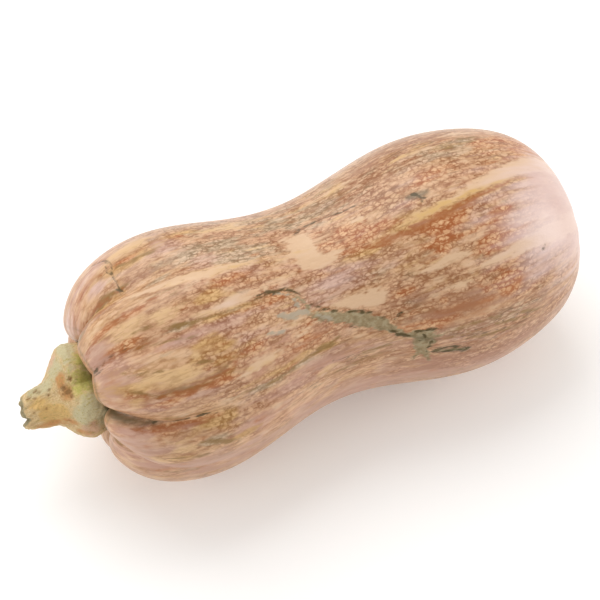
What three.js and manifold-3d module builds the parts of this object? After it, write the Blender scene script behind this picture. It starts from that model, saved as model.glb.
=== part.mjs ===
// A butternut squash lying on its side: one ribbed, waisted fruit and the dry five-lobed stem
// still attached to it. Millimetres, +Z up. The stem points to -X, the blossom end to +X, and
// the fruit rests on two small flat spots under its two swellings.
import * as THREE from 'three';
import { mergeVertices } from 'three/addons/utils/BufferGeometryUtils.js';
import Module from 'manifold-3d';

const wasm = await Module();
wasm.setup();

// ---- driving dimensions, mm ----

// Fruit outline: [place along the axis, radius], from the stem cavity over the shoulder, the
// waist and the bulb to the blossom end.
const FRUIT_OUTLINE = [
  [-110, 0], [-110, 10], [-112, 18], [-120, 22.5], [-123, 31], [-117, 42.5], [-107.5, 51.5],
  [-92, 58], [-70, 60], [-46, 55.6], [-24, 48.8], [0, 47.3], [26, 53.9], [52, 59.6], [76, 58.8],
  [98, 53.4], [115.5, 45], [127.8, 28.5], [128.4, 10], [127.2, 4], [127.8, 0],
];
const AXIS_HEIGHT = 58.4; // fruit axis above the table; whatever would sink below it is flat
const CREASE_DEPTH = 8; // deepest crease, at the stem shoulder
const CREASE_END = 0; // place along the axis where the creases have run out
// Creases between the lobes: [degrees from the top towards -Y, share of the full depth,
// degrees by which the crease swings back as it comes to the stem].
const CREASES = [
  [-7, 0.9, 10], [26, 0.3, 2], [70, 1.0, 10], [106, 0.45, 20],
  [150, 0.8, 12], [198, 1.0, 0], [240, 0.6, 5], [286, 0.8, 12],
];
const FACE_TILT = 0.085; // slope by which the stem end faces upwards, towards FACE_TURN
const FACE_TURN = 40; // degrees
const OVALITY = 0.012; // radius swing of the slightly oval section
const OVAL_TURN = 10; // degrees
const BOW = 0.8; // rise of the waist off a straight axis
const NOD = 1.0; // drop of the blossom end

// Stem outline: [distance out from the fruit's shoulder plane, radius].
const STEM_OUTLINE = [
  [-9, 0], [-9, 9], [-6.5, 16], [-2, 20.5], [3, 22.6], [7.5, 24], [12, 23.4], [15.6, 20],
  [19, 14.8], [22.4, 10.9], [26.5, 10.1], [32, 9.2], [35.8, 8.4], [37.6, 5.6], [37, 0],
];
const STEM_SEAT = -117; // place of the shoulder plane along the axis
// Valleys between the stem's lobes: [degrees from the top towards -Y, share of the depth].
const STEM_VALLEYS = [[24, 0.7], [90, 0.5], [160, 0.9], [225, 1.0], [285, 0.8]];
const STEM_VALLEY_BASE = 0.34; // valley depth at the flared base, share of the radius
const STEM_VALLEY_SHAFT = 0.10; // valley depth on the shaft, share of the radius
const STEM_LIFT = 0.4; // stem axis above the fruit's
const STEM_LOBE = 0.06; // extra size of the upper lobe, share of the radius
const STEM_LOBE_TURN = -50; // degrees
const TIP_SLANT = 0.22; // slope of the broken tip
const SEAT_GAP = 0.35; // clearance between the stem and its seat in the fruit

const FRUIT_RINGS = 46;
const FRUIT_SIDES = 80;
const STEM_RINGS = 24;
const STEM_SIDES = 48;

// ---- helpers ----

const radians = (degrees) => degrees * Math.PI / 180;

// 0 below lo, 1 above hi, with a smooth step between.
function ease(x, lo, hi) {
  const t = Math.min(Math.max((x - lo) / (hi - lo), 0), 1);
  return t * t * (3 - 2 * t);
}

// Uniform cubic B-spline through a list of [place, radius], its end points tripled; t runs 0..1.
function spline(points, t) {
  const p = [points[0], points[0], ...points, points.at(-1), points.at(-1)];
  const spans = p.length - 3;
  const x = Math.min(t * spans, spans - 1e-9);
  const i = Math.floor(x);
  const f = x - i;
  const weight = [
    (1 - f) ** 3 / 6,
    (3 * f ** 3 - 6 * f ** 2 + 4) / 6,
    (-3 * f ** 3 + 3 * f ** 2 + 3 * f + 1) / 6,
    f ** 3 / 6,
  ];
  return [0, 1].map((k) => weight.reduce((sum, w, j) => sum + w * p[i + j][k], 0));
}

// Stations along an outline: place a, radius r, arc length s and outward normal (na, nr).
// finer > 0 packs the stations towards both ends.
function stations(points, count, finer) {
  const fine = 4000;
  const curve = [];
  for (let i = 0; i <= fine; i += 1) {
    curve.push(spline(points, i / fine));
  }
  const length = [0];
  for (let i = 1; i <= fine; i += 1) {
    const step = Math.hypot(curve[i][0] - curve[i - 1][0], curve[i][1] - curve[i - 1][1]);
    length.push(length[i - 1] + step);
  }
  const out = [];
  let i = 1;
  for (let k = 0; k < count; k += 1) {
    const t = k / (count - 1);
    const s = length[fine] * (t - finer * Math.sin(2 * Math.PI * t) / (2 * Math.PI));
    while (i < fine && length[i] < s) {
      i += 1;
    }
    const f = Math.min(Math.max((s - length[i - 1]) / (length[i] - length[i - 1]), 0), 1);
    const a = curve[i - 1][0] + f * (curve[i][0] - curve[i - 1][0]);
    const r = curve[i - 1][1] + f * (curve[i][1] - curve[i - 1][1]);
    const da = curve[i][0] - curve[i - 1][0];
    const dr = curve[i][1] - curve[i - 1][1];
    const norm = Math.hypot(da, dr);
    out.push({ a, r: k === 0 || k === count - 1 ? 0 : r, s, na: -dr / norm, nr: da / norm });
  }
  return out;
}

// How far round angle theta stands up between its two valleys: 1 on a crest and
// 1 - share at the bottom of a valley. A small power makes narrow valleys, a large one wide.
function lobes(theta, valleys, power) {
  const turn = 2 * Math.PI;
  const start = radians(valleys[0][0]);
  const at = ((theta - start) % turn + turn) % turn;
  const edge = [...valleys.map((v) => radians(v[0]) - start), turn];
  let k = 0;
  while (k < valleys.length - 1 && at >= edge[k + 1]) {
    k += 1;
  }
  const phi = (at - edge[k]) / (edge[k + 1] - edge[k]);
  const blend = ease(phi, 0, 1);
  const share = valleys[k][1] * (1 - blend) + valleys[(k + 1) % valleys.length][1] * blend;
  return 1 - share * (1 - Math.sin(Math.PI * phi) ** power);
}

// A lathe of the stations with every vertex moved by place(station, theta), merged and closed.
function turned(line, sides, place) {
  const points = line.map((p) => new THREE.Vector2(p.r, p.a));
  const geometry = new THREE.LatheGeometry(points, sides);
  const position = geometry.attributes.position;
  for (let i = 0; i <= sides; i += 1) {
    const theta = 2 * Math.PI * (i % sides) / sides;
    for (let j = 0; j < line.length; j += 1) {
      const [x, y, z] = place(line[j], theta);
      position.setXYZ(i * line.length + j, x, y, z);
    }
  }
  geometry.deleteAttribute('normal');
  geometry.deleteAttribute('uv');
  return withoutSlivers(mergeVertices(geometry, 1e-4));
}

// Drops the triangles that shrink to a line where the lathe meets its axis.
function withoutSlivers(geometry) {
  const index = geometry.index.array;
  const kept = [];
  for (let i = 0; i < index.length; i += 3) {
    const [a, b, c] = [index[i], index[i + 1], index[i + 2]];
    if (a !== b && b !== c && c !== a) {
      kept.push(a, b, c);
    }
  }
  geometry.setIndex(kept);
  return geometry;
}

function solid(geometry) {
  return new wasm.Manifold(new wasm.Mesh({
    numProp: 3,
    vertProperties: new Float32Array(geometry.attributes.position.array),
    triVerts: new Uint32Array(geometry.index.array),
  }));
}

function geometryOf(manifold) {
  const mesh = manifold.getMesh();
  const geometry = new THREE.BufferGeometry();
  geometry.setAttribute('position', new THREE.BufferAttribute(mesh.vertProperties, 3));
  geometry.setIndex(new THREE.BufferAttribute(mesh.triVerts, 1));
  return geometry;
}

// ---- fruit ----

// Creases fade in from the stem cavity and run out at the waist. They sink along the axis at
// the stem end and turn to sink straight inwards on the flanks. The section is slightly oval,
// the axis bows a little and the underside is flat where it rests.
function fruitPoint(p, theta) {
  const fade = ease(p.s, 8, 30) * (1 - ease(p.a, -125, CREASE_END));
  const power = 0.7 + 1.1 * ease(p.a, -125, -40);
  const swing = 1 - ease(p.s, 30, 80);
  const creases = CREASES.map(([angle, share, lean]) => [angle - lean * swing, share]);
  const sunk = CREASE_DEPTH * fade * (1 - lobes(theta, creases, power));
  const inwards = Math.PI / 2 * ease(p.s, 15, 90);
  const oval = OVALITY * Math.cos(2 * (theta + radians(OVAL_TURN))) * ease(p.a, -110, -60);
  const radius = Math.max(p.r - Math.sin(inwards) * sunk, 0) * (1 + oval);
  const face = FACE_TILT * Math.cos(theta - radians(FACE_TURN)) * (1 - ease(p.a, -125, -60));
  const x = p.a + Math.cos(inwards) * sunk - face * radius;
  const waist = ease(p.a, -90, -10) * (1 - ease(p.a, 10, 90));
  const rise = BOW * waist - NOD * ease(p.a, 95, 129);
  const y = -radius * Math.sin(theta) + 0.76 * rise;
  const z = radius * Math.cos(theta) + 0.65 * rise;
  return [x, y, Math.max(z, -AXIS_HEIGHT)];
}

// ---- stem ----

// Five lobes at the flared base thin out to shallow ridges on the shaft; the tip is broken off
// at a slant. gap swells the whole stem, for cutting its seat.
function stemPoint(p, theta, gap) {
  const depth = STEM_VALLEY_BASE * (1 - ease(p.a, 4, 22)) + STEM_VALLEY_SHAFT;
  const lobe = 1 - depth * (1 - lobes(theta, STEM_VALLEYS, 1.2));
  const big = 1 + STEM_LOBE * Math.cos(theta - radians(STEM_LOBE_TURN)) * (1 - ease(p.a, 12, 24));
  const radius = Math.max(p.r * lobe * big + p.nr * gap, 0);
  const out = p.a + p.na * gap;
  const y = -radius * Math.sin(theta) + 0.76 * STEM_LIFT;
  const z = radius * Math.cos(theta) + 0.65 * STEM_LIFT;
  const slant = TIP_SLANT * (0.76 * y + 0.65 * z) * ease(p.a, 22, 38);
  return [STEM_SEAT - out + slant, y, z];
}

// The stem's outline runs from its root outwards, so its lathe is turned the other way round
// from the fruit's: theta is negated to keep the faces pointing out.
function stemGeometry(gap) {
  const line = stations(STEM_OUTLINE, STEM_RINGS, 0);
  return turned(line, STEM_SIDES, (p, theta) => stemPoint(p, -theta, gap));
}

const stemShape = stemGeometry(0);
const fruitLine = stations(FRUIT_OUTLINE, FRUIT_RINGS, 0.35);
const fruitLump = turned(fruitLine, FRUIT_SIDES, fruitPoint);
const fruitShape = geometryOf(solid(fruitLump).subtract(solid(stemGeometry(SEAT_GAP))));

// ---- pieces ----

const fruit = new THREE.Mesh(
  fruitShape,
  new THREE.MeshStandardMaterial({ color: '#c99a74', roughness: 0.55, metalness: 0 }),
);
fruit.name = 'fruit';

const stem = new THREE.Mesh(
  stemShape,
  new THREE.MeshStandardMaterial({ color: '#b5a57c', roughness: 0.8, metalness: 0 }),
);
stem.name = 'stem';

// The origin goes to the middle of the whole object's footprint, on the table.
const group = new THREE.Group();
group.add(fruit, stem);
const box = new THREE.Box3().setFromObject(group);
const middle = box.getCenter(new THREE.Vector3());
for (const piece of [fruit, stem]) {
  piece.geometry.translate(-middle.x, -middle.y, -box.min.z);
}

export default group;
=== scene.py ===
"""A butternut squash on its side: the netted, streaked skin of the fruit and its dry corky stem.

Shapes are worked out in millimetres along the fruit's own axis and put into the row frame, in
metres, as they become meshes. An angle theta runs round the axis from the top towards -Y.
"""
import math

import bpy
import numpy as np
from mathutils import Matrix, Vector


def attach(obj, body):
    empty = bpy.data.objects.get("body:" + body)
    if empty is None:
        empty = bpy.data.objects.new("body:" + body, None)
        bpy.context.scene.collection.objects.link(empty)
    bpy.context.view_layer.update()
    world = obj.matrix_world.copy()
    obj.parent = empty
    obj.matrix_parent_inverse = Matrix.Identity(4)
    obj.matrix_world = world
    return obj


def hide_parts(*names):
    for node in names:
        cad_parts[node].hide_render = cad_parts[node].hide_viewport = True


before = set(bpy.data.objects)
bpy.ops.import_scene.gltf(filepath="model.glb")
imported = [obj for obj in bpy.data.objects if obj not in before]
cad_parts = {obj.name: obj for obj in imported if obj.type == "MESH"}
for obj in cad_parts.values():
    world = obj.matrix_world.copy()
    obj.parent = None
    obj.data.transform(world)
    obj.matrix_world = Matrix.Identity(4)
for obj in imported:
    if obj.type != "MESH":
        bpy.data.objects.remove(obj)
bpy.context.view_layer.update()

MM = 0.001
TURN = 2 * np.pi
CURVE_SAMPLES = 8001

# ---- the fruit's form, mm, as in the solid it replaces ----

FRUIT_OUTLINE = [
    (-110, 0), (-110, 10), (-112, 18), (-120, 22.5), (-123, 31), (-117, 42.5), (-107.5, 51.5),
    (-92, 58), (-70, 60), (-46, 55.6), (-24, 48.8), (0, 47.3), (26, 53.9), (52, 59.6), (76, 58.8),
    (98, 53.4), (115.5, 45), (127.8, 28.5), (128.4, 10), (127.2, 4), (127.8, 0)]
AXIS_HEIGHT = 58.4
CREASE_DEPTH = 8
# degrees from the top towards -Y, share of the full depth, degrees swung back at the stem
CREASES = [
    (-7, 0.9, 10), (26, 0.3, 2), (70, 1.0, 10), (106, 0.45, 20),
    (150, 0.8, 12), (198, 1.0, 0), (240, 0.6, 5), (286, 0.8, 12)]
# the power of the sine between two creases at the stem, and what it gains down the neck
CREASE_POWER, POWER_GAIN = 0.7, 1.1
FACE_TILT, FACE_TURN = 0.085, 40
OVALITY, OVAL_TURN = 0.012, 10
BOW, NOD = 0.8, 1.0
# which way the bow, the nod and the stem's lift go, as shares of +Y and +Z
ASIDE, UPWARDS = 0.76, 0.65
# where each form begins or ends, mm along the skin from the middle of the stem's cavity
CREASE_BEGINS = (8, 30)
CREASE_SWINGS = (30, 80)
FLANK_BEGINS = (15, 90)
# how much of the skin's length turns in at the blossom end
BLOSSOM_LENGTH = 45
# where each form begins or ends, mm along the axis from the waist
CREASE_ENDS = (-125, 0)
CREASE_WIDENS = (-125, -40)
FACE_ENDS = (-125, -60)
OVAL_BEGINS = (-110, -60)
BOW_BEGINS = (-90, -10)
BOW_ENDS = (10, 90)
NOD_BEGINS = (95, 129)

STEM_OUTLINE = [
    (-9, 0), (-9, 9), (-6.5, 16), (-2, 20.5), (3, 22.6), (7.5, 24), (12, 23.4), (15.6, 20),
    (19, 14.8), (22.4, 10.9), (26.5, 10.1), (32, 9.2), (35.8, 8.4), (37.6, 5.6), (37, 0)]
STEM_SEAT = -117
STEM_VALLEYS = [(24, 0.7), (90, 0.5), (160, 0.9), (225, 1.0), (285, 0.8)]
STEM_VALLEY_POWER = 1.2
STEM_VALLEY_BASE, STEM_VALLEY_SHAFT = 0.34, 0.10
STEM_LIFT = 0.4
STEM_LOBE, STEM_LOBE_TURN = 0.06, -50
TIP_SLANT = 0.22
NOTCH_TURN, NOTCH_LEVEL = 38, 3.6
NOTCH_DEPTH, NOTCH_WIDTH = 2.4, 1.3
# where each form begins or ends, mm out from the stem's seat
STEM_VALLEY_THINS = (4, 22)
STEM_LOBE_ENDS = (12, 24)
TIP_SLANT_BEGINS = (22, 38)

# where the middle of the fruit's axis stands in the row frame
AXIS_MIDDLE = (13.52, -0.09, AXIS_HEIGHT)


def ease(x, lo, hi):
    """0 at lo and beyond it, 1 at hi and beyond it, with a smooth step between."""
    t = np.clip((x - lo) / (hi - lo), 0, 1)
    return t * t * (3 - 2 * t)


def spline(points, count):
    """The uniform cubic B-spline that (place, radius) pairs control, with its end points
    tripled, as count pairs."""
    p = np.array([points[0]] * 2 + list(points) + [points[-1]] * 2, float)
    spans = len(p) - 3
    x = np.clip(np.linspace(0, spans, count), 0, spans - 1e-9)
    i = x.astype(int)
    f = (x - i)[:, None]
    weights = (
        (1 - f) ** 3 / 6, (3 * f ** 3 - 6 * f ** 2 + 4) / 6,
        (-3 * f ** 3 + 3 * f ** 2 + 3 * f + 1) / 6, f ** 3 / 6)
    return sum(w * p[i + k] for k, w in enumerate(weights))


def stations(points, count):
    """Evenly spaced stations along an outline: arc length s, place a and radius r."""
    curve = spline(points, CURVE_SAMPLES)
    length = np.concatenate([[0], np.cumsum(np.hypot(*np.diff(curve, axis=0).T))])
    s = np.linspace(0, length[-1], count)
    r = np.interp(s, length, curve[:, 1])
    r[[0, -1]] = 0
    return s, np.interp(s, length, curve[:, 0]), r


def lobes(theta, angles, shares, power):
    """1 on the crest between two valleys, 1 - share at the bottom of a valley. angles has a
    row for each ring; a small power makes narrow valleys, a large one wide."""
    start = angles[:, :1]
    at = np.mod(theta - start, TURN)
    edges = np.concatenate([angles - start, np.full_like(start, TURN)], axis=1)
    shares = np.append(shares, shares[0])
    out = np.ones_like(at)
    for k in range(len(shares) - 1):
        lo, hi = edges[:, k:k + 1], edges[:, k + 1:k + 2]
        phi = (at - lo) / (hi - lo)
        blend = ease(phi, 0, 1)
        share = shares[k] * (1 - blend) + shares[k + 1] * blend
        arch = np.sin(np.pi * np.clip(phi, 0, 1)) ** power
        out = np.where((at >= lo) & (at < hi), 1 - share * (1 - arch), out)
    return out


# the standard deviation of ripples
RIPPLE_SPREAD = 0.6


def ripples(u, theta, seed, waves, reach, length):
    """Smooth wandering noise between about -1 and 1 that closes round the axis: a sum of
    seeded sine waves, each with a whole number of turns up to reach round theta and a
    wavelength of one to three times length along u."""
    rng = np.random.default_rng(seed)
    total = np.zeros(np.broadcast(u, theta).shape)
    for _ in range(waves):
        turns = rng.integers(0, reach + 1)
        pitch = length * rng.uniform(1, 3)
        phase = rng.uniform(0, TURN)
        sign = rng.choice([-1, 1])
        total += np.sin(turns * theta + sign * TURN * u / pitch + phase)
    return total / math.sqrt(waves / 2) * RIPPLE_SPREAD


# the depth that a point far from every stroke gets, mm
FAR_OUTSIDE = -50.0


def marks(strokes, s, theta, r):
    """Signed depth inside a set of drawn strokes, mm, positive inside. A stroke is a list of
    (place along the skin mm, angle in degrees, half width mm): its depth is the half width,
    blended from point to point, less the distance to the line between the points on the
    unrolled skin."""
    depth = np.full(np.broadcast(s, theta).shape, FAR_OUTSIDE)
    for stroke in strokes:
        for (s0, t0, w0), (s1, t1, w1) in zip(stroke, stroke[1:]):
            turn0, turn1 = math.radians(t0), math.radians(t1)
            along = s - s0
            around = (np.mod(theta - turn0 + np.pi, TURN) - np.pi) * r
            run, rise = s1 - s0, (turn1 - turn0) * r
            share = np.clip((along * run + around * rise) / (run * run + rise * rise), 0, 1)
            far = np.hypot(along - share * run, around - share * rise)
            depth = np.maximum(depth, w0 + (w1 - w0) * share - far)
    return depth


def clouds(patches, s, theta, r):
    """Soft patches, 0 to 1: each is its weight times exp(-d^2), where d is the distance from
    its middle in half lengths along the skin and half widths round it. The strongest wins."""
    total = np.zeros(np.broadcast(s, theta).shape)
    for place, angle, length, width, weight in patches:
        around = (np.mod(theta - math.radians(angle) + np.pi, TURN) - np.pi) * r
        apart = ((s - place) / length) ** 2 + (around / width) ** 2
        total = np.maximum(total, weight * np.exp(-apart))
    return total


class Skin:
    """The fruit's surface on a grid: a ring for each station and a column for each angle."""

    def __init__(self, rings, columns):
        s, a, r = stations(FRUIT_OUTLINE, rings)
        self.s, self.a, self.r = s[:, None], a[:, None], r[:, None]
        self.theta = np.linspace(0, TURN, columns, endpoint=False)[None, :]
        self.spot = self.s, self.theta, self.r
        self.length = s[-1]
        self.sunk, self.crease = self.creases()

    def creases(self):
        """How deep each point is sunk below the crests, and the same as 0 to 1 of the local
        full depth. The creases fade in from the stem and run out at the waist."""
        fade = ease(self.s, *CREASE_BEGINS) * (1 - ease(self.a, *CREASE_ENDS))
        power = CREASE_POWER + POWER_GAIN * ease(self.a, *CREASE_WIDENS)
        swing = 1 - ease(self.s, *CREASE_SWINGS)
        degrees = np.array([[angle, lean] for angle, _, lean in CREASES])
        angles = np.radians(degrees[:, 0] - degrees[:, 1] * swing)
        shares = np.array([share for _, share, _ in CREASES])
        low = 1 - lobes(self.theta, angles, shares, power)
        return CREASE_DEPTH * fade * low, low * fade

    def points(self, relief):
        """Sinks the creases along the axis at the stem end and inwards on the flanks, makes
        the section a little oval, bows the axis, tilts the stem end and lays the underside
        flat where it rests. relief lifts the surface, mm."""
        inwards = np.pi / 2 * ease(self.s, *FLANK_BEGINS)
        down = np.pi * ease(self.s, self.length - BLOSSOM_LENGTH, self.length) / 2
        oval = OVALITY * np.cos(2 * (self.theta + math.radians(OVAL_TURN)))
        radius = np.maximum(self.r - np.sin(inwards) * self.sunk, 0)
        radius = radius * (1 + oval * ease(self.a, *OVAL_BEGINS))
        radius = np.maximum(radius + relief * np.sin(inwards) * np.cos(down), 0)
        face = FACE_TILT * np.cos(self.theta - math.radians(FACE_TURN))
        face = face * (1 - ease(self.a, *FACE_ENDS))
        x = self.a + np.cos(inwards) * (self.sunk - relief) - face * radius
        x = x + relief * np.sin(down)
        waist = ease(self.a, *BOW_BEGINS) * (1 - ease(self.a, *BOW_ENDS))
        rise = BOW * waist - NOD * ease(self.a, *NOD_BEGINS)
        y = ASIDE * rise - radius * np.sin(self.theta)
        z = UPWARDS * rise + radius * np.cos(self.theta)
        return np.stack([x, y, np.maximum(z, -AXIS_HEIGHT)], axis=-1)


def put(name, data):
    """A new object with this data, in the scene."""
    new = bpy.data.objects.new(name, data)
    bpy.context.scene.collection.objects.link(new)
    return new


def in_order(values):
    """The values of a grid in the order of its vertices: ring after ring, then the poles."""
    inner = values[1:-1].reshape(-1, *values.shape[2:])
    return np.concatenate([inner, values[:1, 0], values[-1:, 0]])


def grid_mesh(name, points, attributes):
    """A closed mesh from rings of points, (rings, columns, 3) in mm on the fruit's axis. The
    first and the last ring are single points, the poles. attributes maps a name to a value
    for each grid point, as one number or as three."""
    rings, columns = points.shape[:2]
    vertices = in_order((points + AXIS_MIDDLE) * MM)
    first_pole, last_pole = len(vertices) - 2, len(vertices) - 1
    ids = np.arange((rings - 2) * columns).reshape(rings - 2, columns)
    turned = np.roll(ids, -1, axis=1)
    quads = np.stack([ids[:-1], turned[:-1], turned[1:], ids[1:]], axis=-1).reshape(-1, 4)
    start = np.stack([np.full(columns, first_pole), turned[0], ids[0]], axis=-1)
    end = np.stack([np.full(columns, last_pole), ids[-1], turned[-1]], axis=-1)
    faces = quads.tolist() + start.tolist() + end.tolist()
    mesh = bpy.data.meshes.new(name)
    mesh.from_pydata(vertices.tolist(), [], faces, shade_flat=False)
    for key, value in attributes.items():
        kind, slot = ("FLOAT_VECTOR", "vector") if value.ndim == 3 else ("FLOAT", "value")
        value = in_order(np.broadcast_to(value, (rings, columns, *value.shape[2:])))
        layer = mesh.attributes.new(key, kind, "POINT")
        layer.data.foreach_set(slot, value.astype(np.float32).ravel())
    mesh.validate()
    return put(name, mesh)


class Stem:
    """The stem's surface on a grid: five lobes at the flared base thin out to shallow ridges
    on the shaft, and the tip is broken off at a slant. Its rings run towards -X, against
    the fruit's, so its columns run against the fruit's too and the faces point outwards."""

    def __init__(self, rings, columns):
        s, out, r = stations(STEM_OUTLINE, rings)
        self.s, self.out, self.r = s[:, None], out[:, None], r[:, None]
        self.theta = -np.linspace(0, TURN, columns, endpoint=False)[None, :]
        self.spot = self.s, self.theta, self.r
        angles = np.radians([[angle for angle, _ in STEM_VALLEYS]]) + 0 * self.s
        shares = np.array([share for _, share in STEM_VALLEYS])
        self.lobe = lobes(self.theta, angles, shares, STEM_VALLEY_POWER)

    def points(self, relief, broken):
        """relief lifts the surface off the stem's axis and broken takes the tip back along
        it, mm."""
        base = 1 - ease(self.out, *STEM_VALLEY_THINS)
        depth = STEM_VALLEY_BASE * base + STEM_VALLEY_SHAFT
        upper = STEM_LOBE * np.cos(self.theta - math.radians(STEM_LOBE_TURN))
        radius = self.r * (1 - depth * (1 - self.lobe))
        radius = radius * (1 + upper * (1 - ease(self.out, *STEM_LOBE_ENDS)))
        radius = np.maximum(radius + relief * ease(self.r, 0, 4), 0)
        y = ASIDE * STEM_LIFT - radius * np.sin(self.theta)
        z = UPWARDS * STEM_LIFT + radius * np.cos(self.theta)
        slant = TIP_SLANT * (ASIDE * y + UPWARDS * z) * ease(self.out, *TIP_SLANT_BEGINS)
        return np.stack([STEM_SEAT - self.out + slant + broken, y, z], axis=-1)


# ---- what marks the skin, and the shade and highlights painted on it ----
# A stroke's points are (mm along the skin from the stem end, degrees round, half width mm).
# A patch is (mm along, degrees round, half length mm, half width mm, weight).

CREAM = [
    [(151, -4, 1.5), (155, -2, 3), (161, -1, 3)],
    [(158, -1, 4.5), (159, 5, 5), (159, 11, 5), (158, 15, 3.5)],
    [(152.5, 1, 2.4), (153.5, 6, 2.6), (155, 11, 2.4)],
    [(151, 13, 0.5), (154, 15, 2.5), (162, 16, 3.6), (168, 15.5, 3), (174, 14.5, 0)],
    [(139, 6.5, 0.3), (145, 8, 1), (152, 8, 1.4)],
    [(102, 22, 0), (106, 22, 2), (114, 22, 3), (120, 22.5, 2.3), (126, 22, 0)],
    [(52, -9, 0), (58, -8, 0.8), (66, -6, 1.2), (77, 0, 1.5), (85, 2, 1.9), (97, 2.8, 2.5),
     (107, 5, 2.7), (117, 5, 2.5), (128, 6, 1.5), (138, 6.5, 0)],
    [(48, 5, 0), (58, 3.5, 0.8), (68, 3, 0.8), (76, 3, 0)],
    [(40, -33, 0), (50, -33, 0.7), (62, -34, 0.8), (74, -33, 0)],
    [(158, 41, 0), (163, 42, 2), (170, 43.5, 3.5), (177, 45, 4.3), (182, 45, 3.6), (186, 44, 0)],
    [(201, 41, 0), (207, 40.5, 1.7), (216, 39, 2.2), (226, 39.5, 1.7), (231, 39.5, 0)],
    [(210, 52, 0), (215, 52, 1.7), (221, 52.5, 1.7), (226, 53, 0)],
    [(229, 47, 0), (236, 47, 1.8), (246, 46.5, 2.3), (258, 45.5, 4), (275, 46, 5), (300, 47, 5)],
    [(201, 16, 0), (206, 15.7, 1.1), (213, 15.6, 1.6), (222, 15.3, 1.9), (229, 14.6, 2),
     (238, 13.2, 2.2), (247, 11.2, 3.2), (260, 8.6, 4.2), (274, 6, 4.6), (298, 2, 5)],
    [(181, 2, 0), (184, 2, 1.5), (188, 3, 1.5), (190, 3, 0)],
    [(212, -19, 0), (220, -20, 1.5), (232, -19, 2), (240, -18, 1.2), (244, -18, 0)],
    [(248, -28, 0), (254, -28, 1.8), (262, -27, 1.2), (266, -27, 0)],
    [(176, -26, 0), (182, -26, 1.5), (195, -25, 1.3), (200, -24, 0)],
    [(102, 55, 0), (107, 54.3, 2), (114, 53, 2.6), (122, 52, 2.2), (128, 51.5, 0)],
    [(130, 50, 0), (136, 49, 0.8), (143, 48, 1.2), (151, 46, 0.8), (154, 45.5, 0)],
    [(134, 44, 0), (139, 42.3, 0.8), (146, 40, 1), (154, 37.5, 0)],
    [(122, 21.5, 0), (128, 20.6, 0.7), (138, 19.4, 1), (149, 17.5, 0)]]
RUST = [
    [(176, 17.5, 0), (186, 19.5, 1.3), (196, 20.3, 1.9), (205, 20.6, 2.1), (214, 20.3, 2.2),
     (226, 19.2, 2.5), (236, 17.7, 2.3), (246, 15.8, 1.4), (258, 14, 1.1), (268, 12.3, 1),
     (278, 11.3, 0.8), (288, 10.4, 0)],
    [(240, 28, 0), (244, 27.5, 1.5), (250, 27, 1.5), (253, 27, 0)],
    [(211, 32, 0), (214, 32, 1.1), (220, 32.5, 0)],
    [(238, 34, 0), (243, 34, 1.1), (252, 34.5, 1.1), (257, 36, 0)],
    [(240, 42.5, 0), (248, 41.5, 1.1), (256, 41, 1.3), (262, 41, 0)],
    [(50, 68, 0), (58, 69.5, 1), (68, 71, 1.4), (78, 72, 1.2), (88, 72.5, 0)],
    [(40, 13, 0.3), (50, 10, 0.8), (59, 8.5, 1), (69, 8, 0.9), (76, 8.5, 0.7), (84, 7, 0.3), (92, 7, 0)],
    [(40, -9, 0), (46, -5, 1.2), (54, -3, 1), (62, -4, 0.5), (70, -8, 0)],
    [(38, -18, 0), (46, -15.5, 0.9), (56, -14, 0.8), (66, -12, 0.4), (72, -12, 0)],
    [(40, 24.5, 0.3), (50, 23.7, 0.6), (62, 23.5, 0.7), (70, 25, 0)],
    [(36, -28, 0), (48, -28, 0.5), (60, -28, 0.4), (68, -27, 0)],
    [(38, -37, 0), (50, -38, 0.4), (62, -38, 0.4), (72, -37, 0)],
    [(56, 45, 0), (63, 48.5, 0.7), (74, 50.5, 1), (84, 52.5, 1.2), (92, 51, 1), (104, 47.5, 0.6),
     (108, 45, 0)]]
SCAR = [
    [(147, 41, 0.6), (152, 44, 2), (157, 46.5, 2.6), (163, 49.5, 2.9), (169, 53.5, 3.4),
     (174, 56.5, 3.5), (179, 60, 3), (183, 64.5, 2.2), (187, 69, 1.4), (190, 71, 0.6)],
    [(141, 27, 0.2), (144.5, 30, 0.9), (147, 34, 1), (148, 38, 0.8)],
    [(192, 71, 2), (197, 73, 3.2), (202, 75, 2.4), (206, 76, 0.8)],
    [(194, 76, 2.2), (197, 79, 3.4), (201, 79, 2.2)],
    [(196, 82, 2.6), (200, 92, 0.8)],
    [(195, 83, 1.5), (192, 89, 0.6)],
    [(203, 85.5, 0.6), (212, 87.5, 1), (219, 90, 0.5)],
    [(335, -180, 1.2), (335, -90, 0.8), (335, 0, 1.3), (335, 90, 1), (335, 180, 1.2)]]
HEALED = [
    [(133, 23.8, 0.1), (137, 25, 0.5), (141, 28, 0.7), (143.3, 32, 0.8), (143.3, 36, 1)],
    [(130, 34.5, 0.2), (133, 36, 1.4), (138, 38, 2), (143, 38, 1.8), (147, 40, 0.8)],
    [(121, 42, 0), (125, 42, 0.8), (131, 43.5, 0.9), (134, 43, 0)],
    [(150, 42.5, 0.3), (153, 44.5, 1.2), (156, 47.5, 1)],
    [(333, -180, 2.8), (333, -90, 2.4), (333, 0, 3.2), (333, 90, 2.6), (333, 180, 2.8)]]
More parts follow.
